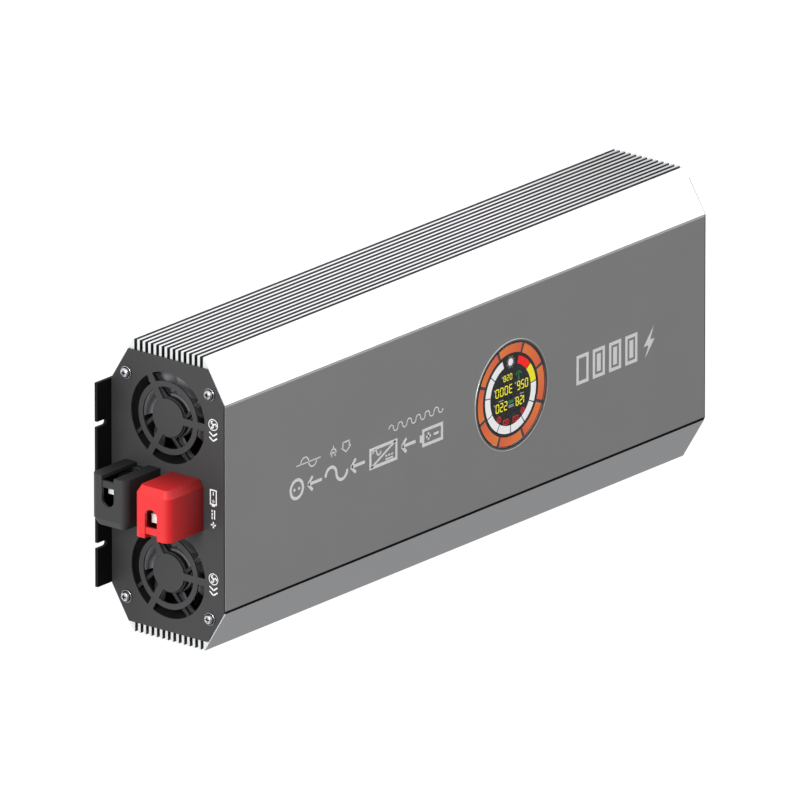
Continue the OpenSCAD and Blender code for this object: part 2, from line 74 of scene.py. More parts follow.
def lamp(name, toward, distance, width, height, watts, colour=(255, 255, 255)):
    """A softbox that stands in the direction given and faces the middle of the case."""
    data = bpy.data.lights.new(name, "AREA")
    data.shape, data.size, data.size_y = "RECTANGLE", width, height
    data.energy, data.color = watts, shade(*colour)[:3]
    box = bpy.data.objects.new(name, data)
    bpy.context.scene.collection.objects.link(box)
    way = Vector(toward).normalized()
    box.location = way * distance
    box.rotation_mode = "QUATERNION"
    box.rotation_quaternion = way.to_track_quat("Z", "Y")
    box.visible_camera = False


lamp("front_softbox", (0.93, -0.30, 0.16), 2.2, 0.9, 0.9, 44)
lamp("side_softbox", (-0.66, -0.55, 0.50), 2.4, 1.4, 1.0, 4)

# A strip light runs along the case just off its right-hand shoulder, so that the panel falls
# off in brightness towards its left-hand edge.
strip = bpy.data.lights.new("strip", "AREA")
strip.shape, strip.size, strip.size_y, strip.energy = "RECTANGLE", 1.3, 0.12, 4.2
strip_box = bpy.data.objects.new("strip", strip)
bpy.context.scene.collection.objects.link(strip_box)
strip_box.location = (0, -0.30, 0.30)
strip_box.rotation_euler = (radians(-48), 0, 0)
strip_box.visible_camera = False

world = bpy.data.worlds.new("studio")
bpy.context.scene.world = world
world.use_nodes = True
room = world.node_tree
room.nodes.clear()
heading = room.nodes.new("ShaderNodeTexCoord")
toward = room.nodes.new("ShaderNodeVectorMath")
toward.operation = "DOT_PRODUCT"
toward.inputs[1].default_value = Vector((-0.458, -0.815, 0.356)).normalized()
spread = room.nodes.new("ShaderNodeMapRange")
spread.interpolation_type = "SMOOTHSTEP"
for socket, value in (("From Min", 0.35), ("From Max", 0.68), ("To Min", 0.26), ("To Max", 1.3)):
    spread.inputs[socket].default_value = value
glow = room.nodes.new("ShaderNodeBackground")
out = room.nodes.new("ShaderNodeOutputWorld")
wire(room, (heading, "Generated"), (toward, 0))
wire(room, (toward, "Value"), (spread, "Value"))
wire(room, (spread, 0), (glow, "Strength"))
wire(room, (glow, 0), (out, 0))

# The floor is a white sweep that glows evenly to the camera, so it shows no shadow. Beyond the far
# left corner its glow is dimmed for all but camera rays, to keep its glare off the panel and the
# left-hand shoulder.
sweep = bmesh.new()
bmesh.ops.create_grid(sweep, x_segments=1, y_segments=1, size=12)
bmesh.ops.translate(sweep, verts=sweep.verts, vec=(0, 0, -0.2 * mm))
ground = bpy.data.meshes.new("floor")
sweep.to_mesh(ground)
sweep.free()
floor = bpy.data.objects.new("floor", ground)
bpy.context.scene.collection.objects.link(floor)
paper = bpy.data.materials.new("white_paper")
paper.use_nodes = True
tree = paper.node_tree
tree.nodes.clear()
where = tree.nodes.new("ShaderNodeTexCoord")
unit = tree.nodes.new("ShaderNodeVectorMath")
unit.operation = "NORMALIZE"
across = tree.nodes.new("ShaderNodeVectorMath")
across.operation = "DOT_PRODUCT"
across.inputs[1].default_value = (-0.75, 0.66, 0)
flag = tree.nodes.new("ShaderNodeMapRange")
flag.interpolation_type = "SMOOTHSTEP"
for socket, value in (("From Min", 0.1), ("From Max", 0.7), ("To Min", 1.0), ("To Max", 0.36)):
    flag.inputs[socket].default_value = value
ray = tree.nodes.new("ShaderNodeLightPath")
level = tree.nodes.new("ShaderNodeMix")
level.inputs["B"].default_value = 1.05
shine = tree.nodes.new("ShaderNodeEmission")
end = tree.nodes.new("ShaderNodeOutputMaterial")
wire(tree, (where, "Object"), (unit, 0))
wire(tree, (unit, 0), (across, 0))
wire(tree, (across, "Value"), (flag, "Value"))
wire(tree, (flag, 0), (level, "A"))
wire(tree, (ray, "Is Camera Ray"), (level, "Factor"))
wire(tree, (level, "Result"), (shine, "Strength"))
wire(tree, (shine, 0), (end, 0))
ground.materials.append(paper)


# ---- Base plate ----
# Sheet steel 2 mm thick, blanked with two open slots in each end, folded flat and coated black.
# Six countersunk screws hold it up to the side walls from below.
def new_group(name, takes, gives):
    """An empty shader group with the named inputs and outputs."""
    group = bpy.data.node_groups.new(name, "ShaderNodeTree")
    for label, kind, value in takes:
        socket = group.interface.new_socket(label, in_out="INPUT", socket_type="NodeSocket" + kind)
        if value is not None:
            socket.default_value = value
    for label, kind in gives:
        group.interface.new_socket(label, in_out="OUTPUT", socket_type="NodeSocket" + kind)
    return group, group.nodes.new("NodeGroupInput"), group.nodes.new("NodeGroupOutput")


def noise(tree, vector, scale, detail=2.0, rough=0.5, stretch=None):
    """A noise texture on the vector, drawn out along an axis where stretch is given."""
    if stretch is not None:
        mapping = tree.nodes.new("ShaderNodeMapping")
        mapping.inputs["Scale"].default_value = stretch
        wire(tree, vector, (mapping, "Vector"))
        vector = (mapping, 0)
    made = tree.nodes.new("ShaderNodeTexNoise")
    made.inputs["Detail"].default_value = detail
    made.inputs["Roughness"].default_value = rough
    if isinstance(scale, tuple):
        wire(tree, scale, (made, "Scale"))
    else:
        made.inputs["Scale"].default_value = scale
    wire(tree, vector, (made, "Vector"))
    return made


def sums(tree, operation, a, b=None, c=None):
    """A Math node on sockets or plain numbers."""
    made = tree.nodes.new("ShaderNodeMath")
    made.operation = operation
    for n, value in enumerate((a, b, c)):
        if isinstance(value, tuple):
            wire(tree, value, (made, n))
        elif value is not None:
            made.inputs[n].default_value = value
    return made, 0


# Handled surface: broad and fine unevenness of tone and gloss, as handling, dust and the
# finishing bath leave on any coated or bare part.
handled, given, result = new_group(
    "handled_surface",
    [("Vector", "Vector", None), ("Colour", "Color", (0.5, 0.5, 0.5, 1)), ("Mottle", "Float", 0.1),
     ("Roughness", "Float", 0.5), ("Spread", "Float", 0.1)],
    [("Colour", "Color"), ("Roughness", "Float")])
broad = noise(handled, (given, "Vector"), 26, 3, 0.55)
fine = noise(handled, (given, "Vector"), 340, 4, 0.6)
level = sums(handled, "MULTIPLY_ADD", (fine, "Fac"), 0.5, -0.25)
level = sums(handled, "ADD", sums(handled, "SUBTRACT", (broad, "Fac"), 0.5), level)
gain = sums(handled, "MULTIPLY_ADD", level, (given, "Mottle"), 1.0)
tint = handled.nodes.new("ShaderNodeVectorMath")
tint.operation = "SCALE"
wire(handled, (given, "Colour"), (tint, 0))
wire(handled, gain, (tint, "Scale"))
wire(handled, (tint, 0), (result, "Colour"))
gloss = sums(handled, "MULTIPLY_ADD", level, (given, "Spread"), (given, "Roughness"))
wire(handled, gloss, (result, "Roughness"))

# Coated skin: the close orange peel of powder coat and the sparked texture of moulded plastic.
skin, given, result = new_group(
    "coated_skin", [("Vector", "Vector", None), ("Size", "Float", 1600.0)], [("Height", "Float")])
peel = noise(skin, (given, "Vector"), (given, "Size"), 3, 0.6)
grit = noise(skin, (given, "Vector"), sums(skin, "MULTIPLY", (given, "Size"), 3.1), 1, 0.5)
wire(skin, sums(skin, "MULTIPLY_ADD", (grit, "Fac"), 0.35, (peel, "Fac")), (result, "Height"))

def place_group(tree, group, **values):
    """A group node with its values set by name."""
    made = tree.nodes.new("ShaderNodeGroup")
    made.node_tree = group
    for label, value in values.items():
        made.inputs[label].default_value = value
    return made


def finish_of(name, colour, roughness, metal=0.0, mottle=0.12, spread=0.1, relief=None, size=1600,
              depth=0.02, streak=0.0, coat=0.0, specular=0.5):
    """A finish: its colour and gloss through the handled surface, and its relief as a bump."""
    made = bpy.data.materials.new(name)
    made.use_nodes = True
    tree = made.node_tree
    shader = tree.nodes["Principled BSDF"]
    where = tree.nodes.new("ShaderNodeTexCoord")
    worn = place_group(tree, handled, Colour=shade(*colour), Mottle=mottle, Roughness=roughness, Spread=spread)
    wire(tree, (where, "Object"), (worn, "Vector"))
    wire(tree, (worn, "Colour"), (shader, "Base Color"))
    wire(tree, (worn, "Roughness"), (shader, "Roughness"))
    shader.inputs["Metallic"].default_value = metal
    shader.inputs["Specular IOR Level"].default_value = specular
    shader.inputs["Coat Weight"].default_value = coat
    shader.inputs["Coat Roughness"].default_value = 0.1
    if relief is not None:
        texture = place_group(tree, relief, Size=size)
        wire(tree, (where, "Object"), (texture, "Vector"))
        bump = tree.nodes.new("ShaderNodeBump")
        bump.inputs["Strength"].default_value = 1
        bump.inputs["Distance"].default_value = depth * mm
        wire(tree, (texture, "Height"), (bump, "Height"))
        wire(tree, (bump, "Normal"), (shader, "Normal"))
        if streak:
            lines = tree.nodes.new("ShaderNodeVectorMath")
            lines.operation = "SCALE"
            wire(tree, (worn, "Colour"), (lines, 0))
            wire(tree, sums(tree, "MULTIPLY_ADD", (texture, "Height"), streak, 1 - 0.8 * streak), (lines, "Scale"))
            wire(tree, (lines, 0), (shader, "Base Color"))
    return made


def merged(node):
    """A copy of a CAD node's mesh with its corners merged and its flat faces whole."""
    bm = bmesh.new()
    bm.from_mesh(nodes[node].data)
    bmesh.ops.remove_doubles(bm, verts=bm.verts, dist=2e-6)
    bmesh.ops.dissolve_limit(bm, angle_limit=radians(0.4), verts=bm.verts, edges=bm.edges)
    bm.normal_update()
    return bm


def ease(bm, width, segments=2, sharp=28, only=None, mark=1):
    """Rounds the sharp edges, and gives the rounded faces the second finish."""
    edges = [e for e in bm.edges if len(e.link_faces) == 2
             and e.calc_face_angle(0) > radians(sharp) and (only is None or only(e))]
    bmesh.ops.bevel(bm, geom=edges, offset=width * mm, offset_type="OFFSET", segments=segments,
                    profile=0.5, affect="EDGES", clamp_overlap=True, material=mark)
    bm.normal_update()


def set_down(name, bm, finishes, body, stands_for=()):
    """Turns a bmesh into a piece, smooth over its rounded edges, that rides on a body."""
    mesh = bpy.data.meshes.new(name)
    bm.to_mesh(mesh)
    bm.free()
    for finish in finishes:
        mesh.materials.append(finish)
    mesh.shade_smooth()
    mesh.set_sharp_from_angle(angle=radians(40))
    made = bpy.data.objects.new(name, mesh)
    bpy.context.scene.collection.objects.link(made)
    made.modifiers.new("even_faces", "WEIGHTED_NORMAL").keep_sharp = True
    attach(made, body)
    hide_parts(*stands_for)
    return made


def eased(node, width, finishes, segments=2, sharp=28, body="case"):
    """A CAD node shown with its sharp edges rounded."""
    bm = merged(node)
    ease(bm, width, segments, sharp)
    return set_down(node + "_piece", bm, finishes, body, [node])


black_coat = finish_of("black_coat", (9, 9, 10), 0.6, mottle=0.25, spread=0.14, relief=skin, size=1500,
                       depth=0.02, specular=0.18)
black_coat_edge = finish_of("black_coat_edge", (18, 18, 19), 0.5, mottle=0.6, spread=0.2, relief=skin,
                            size=1500, depth=0.02, specular=0.3)
eased("base_plate", 0.2, [black_coat, black_coat_edge], segments=3)
blackened = finish_of("blackened_steel", (58, 57, 56), 0.36, metal=0.9, mottle=0.3, spread=0.2, relief=skin,
                      size=2600, depth=0.004)
blackened_edge = finish_of("blackened_steel_edge", (120, 118, 115), 0.3, metal=1, mottle=0.4, spread=0.2)
eased("base_screws", 0.12, [blackened, blackened_edge])

# ---- Side walls ----
# Two aluminium extrusions, left bright, each with thirteen cooling channels between its two
# sloping shoulders. The die leaves fine lines along their length, and the saw a bright cut end.
# The channel walls between the fins and the joint beside the top panel are coloured dark as painted shade.

# Drawn grain: the fine lines that a die or a brushing belt leaves along the length of a part.
drawn, given, result = new_group(
    "drawn_grain", [("Vector", "Vector", None), ("Size", "Float", 1400.0)], [("Height", "Float")])
long_lines = noise(drawn, (given, "Vector"), (given, "Size"), 3, 0.7, stretch=(0.012, 1, 1))
finer = sums(drawn, "MULTIPLY", (given, "Size"), 2.7)
short_lines = noise(drawn, (given, "Vector"), finer, 2, 0.6, stretch=(0.03, 1, 1))
wire(drawn, sums(drawn, "MULTIPLY_ADD", (short_lines, "Fac"), 0.6, (long_lines, "Fac")), (result, "Height"))

bright = finish_of("drawn_aluminium", (248, 249, 251), 0.38, metal=1, mottle=0.05, spread=0.12, relief=drawn,
                   size=1500, depth=0.006, streak=0.06)
bright_edge = finish_of("drawn_aluminium_edge", (240, 241, 243), 0.28, metal=1, mottle=0.05, spread=0.1,
                        relief=drawn, size=1500, depth=0.004)
saw_cut = finish_of("sawn_aluminium", (206, 207, 208), 0.5, metal=0.3, mottle=0.08, spread=0.15, relief=skin,
                    size=2600, depth=0.01)
# Painted shade: the walls between the fins take this darker finish.
channel_shade = finish_of("channel_painted_shade", (118, 119, 121), 0.5, metal=1, mottle=0.2, spread=0.15, relief=drawn,
                    size=1300, depth=0.01, streak=0.1)
# Painted shade: the faces in the joint between the side walls and the top panel take this dark finish.
joint_shade = finish_of("joint_painted_shade", (44, 44, 45), 0.7, mottle=0.3, spread=0.1, relief=drawn, size=1300,
                       depth=0.004, specular=0.2)
fin_tip, fin_root, cut_end = 0.1 * mm, 6.7 * mm, 218.7 * mm
for side in ("left", "right"):
    wall = merged("heat_sink_" + side)
    low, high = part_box("heat_sink_" + side)
    outer = max(abs(low.y), abs(high.y))
    for f in wall.faces:
        middle = f.calc_center_median()
        between_fins = 17 * mm < middle.z < 71 * mm and fin_tip < outer - abs(middle.y) < fin_root
        # Painted shade: faces between the fins get the darker channel finish.
        if abs(f.normal.x) < 0.5 and between_fins:
            f.material_index = 2
        elif abs(f.normal.x) > 0.9 and abs(middle.x) > 218 * mm:
            f.material_index = 3
        # Painted shade: faces in the joint beside the top panel get the dark joint finish.
        elif 83.6 * mm < middle.z < 85.5 * mm and abs(middle.y) < 63.6 * mm:
            f.material_index = 4
    ease(wall, 0.1, only=lambda e: not all(abs(v.co.x) > cut_end for v in e.verts))
    set_down("heat_sink_" + side + "_piece", wall, [bright, bright_edge, channel_shade, saw_cut, joint_shade], "case",
             ["heat_sink_" + side])

# ---- Inside the case ----
# A glass-fibre board on pillars carries the wound parts, capacitors and fuses. The power
# transistors are clamped against aluminium bars on both side walls, over grey insulating strips.
# Banded relief: the turns of a winding, the ribs of a wrapped sleeve or the tracks of a board.
banded, given, result = new_group(
    "wound_turns", [("Vector", "Vector", None), ("Size", "Float", 900.0)], [("Height", "Float")])
turns = banded.nodes.new("ShaderNodeTexWave")
turns.bands_direction = "DIAGONAL"
turns.inputs["Distortion"].default_value = 1.2
turns.inputs["Detail"].default_value = 1
wire(banded, (given, "Vector"), (turns, "Vector"))
wire(banded, (given, "Size"), (turns, "Scale"))
wire(banded, (turns, "Fac"), (result, "Height"))


def dress(node, finish):
    """Puts a finish on a CAD node that is shown as it is."""
    nodes[node].data.materials.clear()
    nodes[node].data.materials.append(finish)


board_green = finish_of("solder_mask", (22, 78, 44), 0.34, mottle=0.5, spread=0.15, relief=banded, size=160,
                        depth=0.02, streak=0.3, coat=0.3)
display_green = finish_of("display_board_mask", (22, 60, 40), 0.36, mottle=0.4, spread=0.15, relief=banded,
                        size=190, depth=0.02, streak=0.3, coat=0.3)
ferrite = finish_of("ferrite", (52, 52, 55), 0.5, mottle=0.3, spread=0.15, relief=skin, size=2200, depth=0.015)
tape = finish_of("winding_tape", (206, 164, 42), 0.34, mottle=0.25, spread=0.12, relief=banded, size=420,
                 depth=0.05, streak=0.25)
coil_wire = finish_of("enamelled_wire", (150, 76, 36), 0.27, metal=0.9, mottle=0.3, spread=0.1, relief=banded,
                      size=260, depth=0.3, streak=0.4)
sleeve = finish_of("capacitor_sleeve", (24, 30, 62), 0.3, mottle=0.2, spread=0.12, relief=skin, size=900,
                   depth=0.01)
pad = finish_of("insulating_strip", (150, 156, 160), 0.7, mottle=0.2, spread=0.1, relief=skin, size=1800,
                depth=0.02)
package = finish_of("transistor_package", (34, 34, 36), 0.5, mottle=0.3, spread=0.12, relief=skin, size=2600,
                    depth=0.01)
fuse = finish_of("fuse_moulding", (110, 56, 22), 0.36, mottle=0.15, spread=0.1, relief=skin, size=1500,
                 depth=0.01)
lead = finish_of("lead_insulation", (150, 30, 28), 0.42, mottle=0.2, spread=0.1, relief=skin, size=1900,
                 depth=0.01)
bar_metal = finish_of("milled_aluminium", (208, 210, 212), 0.34, metal=1, mottle=0.08, spread=0.12,
                      relief=drawn, size=900, depth=0.01, streak=0.1)
copper = finish_of("bus_copper", (196, 118, 78), 0.3, metal=1, mottle=0.25, spread=0.15, relief=drawn, size=800,
                   depth=0.01, streak=0.15)
zinc = finish_of("zinc_plate", (196, 199, 204), 0.3, metal=1, mottle=0.16, spread=0.14, relief=skin, size=2200,
                 depth=0.004)
brass = finish_of("contact_brass", (214, 178, 104), 0.28, metal=1, mottle=0.2, spread=0.14, relief=drawn,
                  size=1500, depth=0.005)
for node, finish in (
        ("main_board", board_green), ("control_card", board_green), ("display_board", display_green),
        ("transformer_cores", ferrite), ("output_choke_core", ferrite), ("transformer_windings", tape),
        ("output_choke_winding", coil_wire), ("fan_stators", coil_wire), ("input_capacitors", sleeve),
        ("bus_capacitors", sleeve), ("insulator_strips", pad), ("power_transistors", package),
        ("input_fuses", fuse), ("output_leads", lead), ("heat_spreaders", bar_metal),
        ("bus_bars", copper), ("clamp_strips", zinc), ("fan_bracket", zinc), ("board_pillars", zinc),
        ("display_pillars", zinc), ("bus_screws", zinc), ("switch_tabs", brass),
        ("board_screws", blackened), ("spreader_screws", blackened), ("clamp_screws", blackened),
        ("fan_screws", blackened), ("bracket_screws", blackened), ("display_screws", blackened)):
    dress(node, finish)

# ---- Fans ----
# Two 60 mm fans stand behind the grilles. The frame is one black moulding: a duct with screw
# ears, and four raked struts on its outer side that carry the motor's round base.
fan_black = finish_of("fan_moulding", (27, 28, 30), 0.56, mottle=0.2, spread=0.12, relief=skin, size=1900,
                      depth=0.006, specular=0.3)
fan_black_edge = finish_of("fan_moulding_edge", (58, 59, 61), 0.42, mottle=0.3, spread=0.12)
for side in ("left", "right"):
    eased("fan_frame_" + side, 0.2, [fan_black, fan_black_edge])

# The rotor is one glossy moulding: seven twisted blades on a cup that holds the magnet, with a
# steel shaft. The shaft runs in the frame's bearing tube.
rotor_gloss = finish_of("rotor_moulding", (98, 98, 101), 0.5, mottle=0.1, spread=0.08, relief=skin, size=900,
                        depth=0.004, specular=0.35)
rotor_shaft = finish_of("rotor_shaft_steel", (190, 192, 196), 0.2, metal=1, mottle=0.1, spread=0.08)


def outline(bm, points):
    """Corners joined by edges, drawn in the XZ plane with X as the distance from the axis."""
    corners = [bm.verts.new((r * mm, 0, z * mm)) for r, z in points]
    return corners + [bm.edges.new(pair) for pair in zip(corners, corners[1:])]


def turn_full(bm, points, steps=64):
    """The outline turned once round the Z axis."""
    bmesh.ops.spin(bm, geom=outline(bm, points), cent=(0, 0, 0), axis=(0, 0, 1), angle=2 * pi,
                   steps=steps, use_merge=True)
    bmesh.ops.remove_doubles(bm, verts=bm.verts, dist=1e-6)


def rotor(side, y):
    """Made with its axis along Z and the outer side up, then laid along +X in its frame."""
    bm = bmesh.new()
    blades, root, tip, middle, stations = 7, 12.7, 26.6, -13.0, 8
    chord, camber, pitch, untwist, widen, sweep_on, thick = 15.0, 2.0, 50, -2.6, 1.035, 0.012, 1.0
    bow = chord ** 2 / (8 * camber) + camber / 2
    below = sqrt(bow ** 2 - (chord / 2) ** 2)
    start = bm.verts.new((root * mm, -chord / 2 * mm, middle * mm))
    bmesh.ops.spin(bm, geom=[start], cent=(root * mm, 0, (middle - below) * mm),
                   axis=(-1, 0, 0), angle=2 * asin(chord / 2 / bow), steps=10)
    rail = bm.edges[:]
    bmesh.ops.rotate(bm, verts=bm.verts, cent=(0, 0, middle * mm), matrix=Matrix.Rotation(radians(pitch), 3, "X"))
    for k in range(stations):
        made = bmesh.ops.extrude_edge_only(bm, edges=rail)["geom"]
        rail = [g for g in made if isinstance(g, bmesh.types.BMEdge)]
        ring = [g for g in made if isinstance(g, bmesh.types.BMVert)]
        bmesh.ops.translate(bm, verts=ring, vec=((tip - root) / stations * mm, 0, 0))
        bmesh.ops.rotate(bm, verts=ring, cent=(0, 0, middle * mm),
                         matrix=Matrix.Rotation(radians(untwist), 3, "X"))
        bmesh.ops.scale(bm, verts=ring, vec=(1, widen, widen), space=Matrix.Translation((0, 0, -middle * mm)))
    for v in bm.verts:
        around, out_by = v.co.y / v.co.x + sweep_on * (v.co.x / mm - root), v.co.x
        v.co.x, v.co.y = out_by * cos(around), out_by * sin(around)
    bmesh.ops.recalc_face_normals(bm, faces=bm.faces)
    bmesh.ops.solidify(bm, geom=bm.faces[:], thickness=thick * mm)
    blade = bm.verts[:] + bm.edges[:] + bm.faces[:]
    for k in range(1, blades):
        again = bmesh.ops.duplicate(bm, geom=blade)["geom"]
        bmesh.ops.rotate(bm, verts=[g for g in again if isinstance(g, bmesh.types.BMVert)], cent=(0, 0, 0),
                         matrix=Matrix.Rotation(2 * pi * k / blades, 3, "Z"))
    cup = [(0, -22), (12.4, -22), (13, -21.4), (13, -4.4), (12.6, -4), (11.4, -4), (11.2, -4.3), (11.2, -20.3)]
    shaft = [(1.5, -20.5), (1.5, -3.3), (1.2, -3), (0, -3)]
    turn_full(bm, cup + shaft)
    bmesh.ops.recalc_face_normals(bm, faces=bm.faces)
    for f in bm.faces:
        centre = f.calc_center_median()
        if Vector((centre.x, centre.y)).length < 1.6 * mm and centre.z > -20 * mm:
            f.material_index = 1
    stand = Matrix(((0, 0, 1), (1, 0, 0), (0, 1, 0))).to_4x4()
    bmesh.ops.transform(bm, matrix=Matrix.Translation((218.8 * mm, y * mm, 44.4 * mm)) @ stand, verts=bm.verts)
    set_down("rotor_" + side + "_blades", bm, [rotor_gloss, rotor_shaft], "rotor_" + side,
             ["fan_rotor_" + side])


rotor("left", 47)
rotor("right", -47)

# ---- End plates ----
# Steel sheet 1.2 mm thick, punched for the fans, terminals and sockets, and powder coated a
# fine-grained dark grey, with painted shade that darkens it low down. Each is held by four
# pan-head screws on washers.
def paint_shade_gradient(finish, axis, near, far, least):
    """Paints shade into a finish: its colour falls to the given share from one height to another, in millimetres.
    """
    tree = finish.node_tree
    shader = tree.nodes["Principled BSDF"]
    source = shader.inputs["Base Color"].links[0].from_socket
    where = tree.nodes.new("ShaderNodeTexCoord")
    split = tree.nodes.new("ShaderNodeSeparateXYZ")
    fade = tree.nodes.new("ShaderNodeMapRange")
    fade.interpolation_type = "SMOOTHSTEP"
    for socket, value in (("From Min", near * mm), ("From Max", far * mm), ("To Min", least), ("To Max", 1)):
        fade.inputs[socket].default_value = value
    toned = tree.nodes.new("ShaderNodeVectorMath")
    toned.operation = "SCALE"
    tree.links.new(source, toned.inputs[0])
    wire(tree, (where, "Object"), (split, 0))
    wire(tree, (split, axis), (fade, "Value"))
    wire(tree, (fade, 0), (toned, "Scale"))
    wire(tree, (toned, 0), (shader, "Base Color"))


end_grey = finish_of("end_plate_coat", (50, 50, 51), 0.55, mottle=0.14, spread=0.12, relief=skin, size=1300,
                     depth=0.03, specular=0.4)
end_grey_edge = finish_of("end_plate_coat_edge", (62, 62, 64), 0.48, mottle=0.3, spread=0.14, relief=skin,
                          size=1300, depth=0.02)
# Painted shade: the end plate coat darkens towards the bottom, to 0.62 of its colour.
for finish in (end_grey, end_grey_edge):
    paint_shade_gradient(finish, "Z", -6, 56, 0.62)
for end in ("fan", "outlet"):
    eased(end + "_end_plate", 0.14, [end_grey, end_grey_edge])
zinc_edge = finish_of("zinc_plate_edge", (226, 228, 232), 0.24, metal=1, mottle=0.1, spread=0.1)
washer_metal = finish_of("washer_steel", (40, 40, 42), 0.4, metal=0.8, mottle=0.25, spread=0.16, relief=skin,
                         size=2400, depth=0.006)
eased("end_plate_washers", 0.22, [washer_metal, zinc_edge])

# The screw heads' rounded edges carry a painted highlight in a brighter finish, and their cross recesses are
# painted dark as shade.
rim_highlight = finish_of("screw_rim_painted_highlight", (244, 244, 246), 0.26, metal=1, mottle=0.08, spread=0.1, relief=skin,
                        size=2200, depth=0.002)
recess_shade = finish_of("screw_recess_painted_shade", (10, 10, 11), 0.7, mottle=0.2, spread=0.1, relief=skin, size=2200,
                        depth=0.01)
screws = merged("end_plate_screws")
crests = max(v.co.x for v in screws.verts), min(v.co.x for v in screws.verts)
for f in screws.faces:
    middle = f.calc_center_median()
    below_crest = min(abs(middle.x - crest) for crest in crests) / mm
    recess_wall = abs(f.normal.x) < 0.1 and below_crest < 0.75
    recess_floor = abs(f.normal.x) > 0.95 and 0.5 < below_crest < 1.3
    # Painted shade: the recess walls and floors take the dark finish. The rounded edges take the painted
    # highlight.
    if recess_wall or recess_floor:
        f.material_index = 2
ease(screws, 0.14, 3, only=lambda e: all(f.material_index == 0 for f in e.link_faces))
set_down("end_plate_screws_piece", screws, [zinc, rim_highlight, recess_shade], "case",
         ["end_plate_screws"])


def bar(bm, a, b, width, taper=0):
    """A printed stroke from a to b. Points are across and up, in millimetres."""
    a, b = Vector((*a, 0)), Vector((*b, 0))
    along = (b - a).normalized()
    side = Vector((-along.y, along.x, 0)) * width / 2
    ends = [bm.verts.new((a + side + along * taper) * mm), bm.verts.new((a - side + along * taper) * mm)]
    edge = bm.edges.new(ends)
    made = bmesh.ops.extrude_edge_only(bm, edges=[edge])["geom"]
    bmesh.ops.translate(bm, verts=[g for g in made if isinstance(g, bmesh.types.BMVert)],
                        vec=(b - a - along * 2 * taper) * mm)
    return [g for g in made if isinstance(g, bmesh.types.BMFace)]


def arc(bm, centre, inner, outer, start, sweep_by, steps=None):
    """A printed arc between two radii, from a start angle, in degrees anticlockwise."""
    way = Vector((cos(radians(start)), sin(radians(start)), 0))
    middle = Vector((*centre, 0))
    ends = [bm.verts.new((middle + way * inner) * mm), bm.verts.new((middle + way * outer) * mm)]
    edge = bm.edges.new(ends)
    steps = steps or max(3, int(abs(sweep_by) / 6))
    before = set(bm.faces)
    bmesh.ops.spin(bm, geom=ends + [edge], cent=middle * mm, axis=(0, 0, 1), angle=radians(sweep_by),
                   steps=steps, use_merge=abs(sweep_by) >= 360)
    return [f for f in bm.faces if f not in before]


def dot(bm, centre, radius, segments=20):
    """A printed disc."""
    made = bmesh.ops.create_circle(bm, cap_ends=True, segments=segments, radius=radius * mm,
                                   matrix=Matrix.Translation((centre[0] * mm, centre[1] * mm, 0)))
    return list({f for v in made["verts"] for f in v.link_faces})


def frame_box(bm, low, high, width):
    """A printed rectangle, drawn as an outline."""
    (x0, y0), (x1, y1), h = low, high, width / 2
    bar(bm, (x0, y0 + h), (x1, y0 + h), width)
    bar(bm, (x0, y1 - h), (x1, y1 - h), width)
    bar(bm, (x0 + h, y0 + width), (x0 + h, y1 - width), width)
    bar(bm, (x1 - h, y0 + width), (x1 - h, y1 - width), width)


def alternating(bm, start, half_waves, radius, width, y=0):
    """The sign for alternating current: half circles above and below a line."""
    for k in range(half_waves):
        x = start + radius * (2 * k + 1)
        arc(bm, (x, y), radius - width / 2, radius + width / 2, 0 if k % 2 == 0 else 180, 180, 16)


def lay_ink(name, bm, finish, place):
    """Turns the strokes into a film of ink, lays it in place and lets it ride on the case."""
    bmesh.ops.remove_doubles(bm, verts=bm.verts, dist=1e-7)
    for f in bm.faces:
        f.normal_update()
    bmesh.ops.reverse_faces(bm, faces=[f for f in bm.faces if f.normal.z < 0])
    top = bmesh.ops.extrude_face_region(bm, geom=bm.faces[:], use_keep_orig=True)["geom"]
    bmesh.ops.translate(bm, verts=[g for g in top if isinstance(g, bmesh.types.BMVert)], vec=(0, 0, 0.03 * mm))
    bmesh.ops.recalc_face_normals(bm, faces=bm.faces)
    bmesh.ops.transform(bm, matrix=place, verts=bm.verts)
    return set_down(name, bm, finish, "case")


# The marks beside the grilles and terminals are screen printed in white: a small fan with air
# arrows at each fan, and a battery with the direct-current sign at the terminals.
white_ink = finish_of("white_ink", (222, 222, 222), 0.5, mottle=0.06, spread=0.08, relief=skin, size=2600,
                      depth=0.004)
marks = bmesh.new()
for y in (-46.8, 46.8):
    hub = y - 3.4
    dot(marks, (hub, 0), 0.8)
    arc(marks, (hub, 0), 3.0, 3.5, 0, 360)
    for turned in (90, 210, 330):
        swing = radians(turned)
        arc(marks, (hub + 1.5 * cos(swing), 1.5 * sin(swing)), 0.35, 1.1, turned - 60, 230, 10)
    for x in (1.3, 4.3):
        for s in (-1, 1):
            bar(marks, (y + x, s * 2.9), (y + x + 2.1, 0), 0.85)
frame_box(marks, (-11, -2.6), (-1.6, 2.6), 0.8)
bar(marks, (-1.6, 0), (-0.6, 0), 2.2)
bar(marks, (-9.4, 0), (-7.4, 0), 0.7)
bar(marks, (-4.9, 0), (-2.9, 0), 0.7)
bar(marks, (-3.9, -1), (-3.9, 1), 0.7)
bar(marks, (1.4, 0.9), (7.0, 0.9), 0.8)
for k in range(3):
    bar(marks, (1.4 + 2.05 * k, -0.9), (2.9 + 2.05 * k, -0.9), 0.8)
bar(marks, (8.6, 0), (12.4, 0), 0.9)
bar(marks, (10.5, -1.9), (10.5, 1.9), 0.9)
lay_ink("fan_end_marks", marks, [white_ink],
        Matrix.Translation((219.99 * mm, 0, 78.0 * mm)) @ Matrix(((0, 0, 1), (1, 0, 0), (0, 1, 0))).to_4x4())

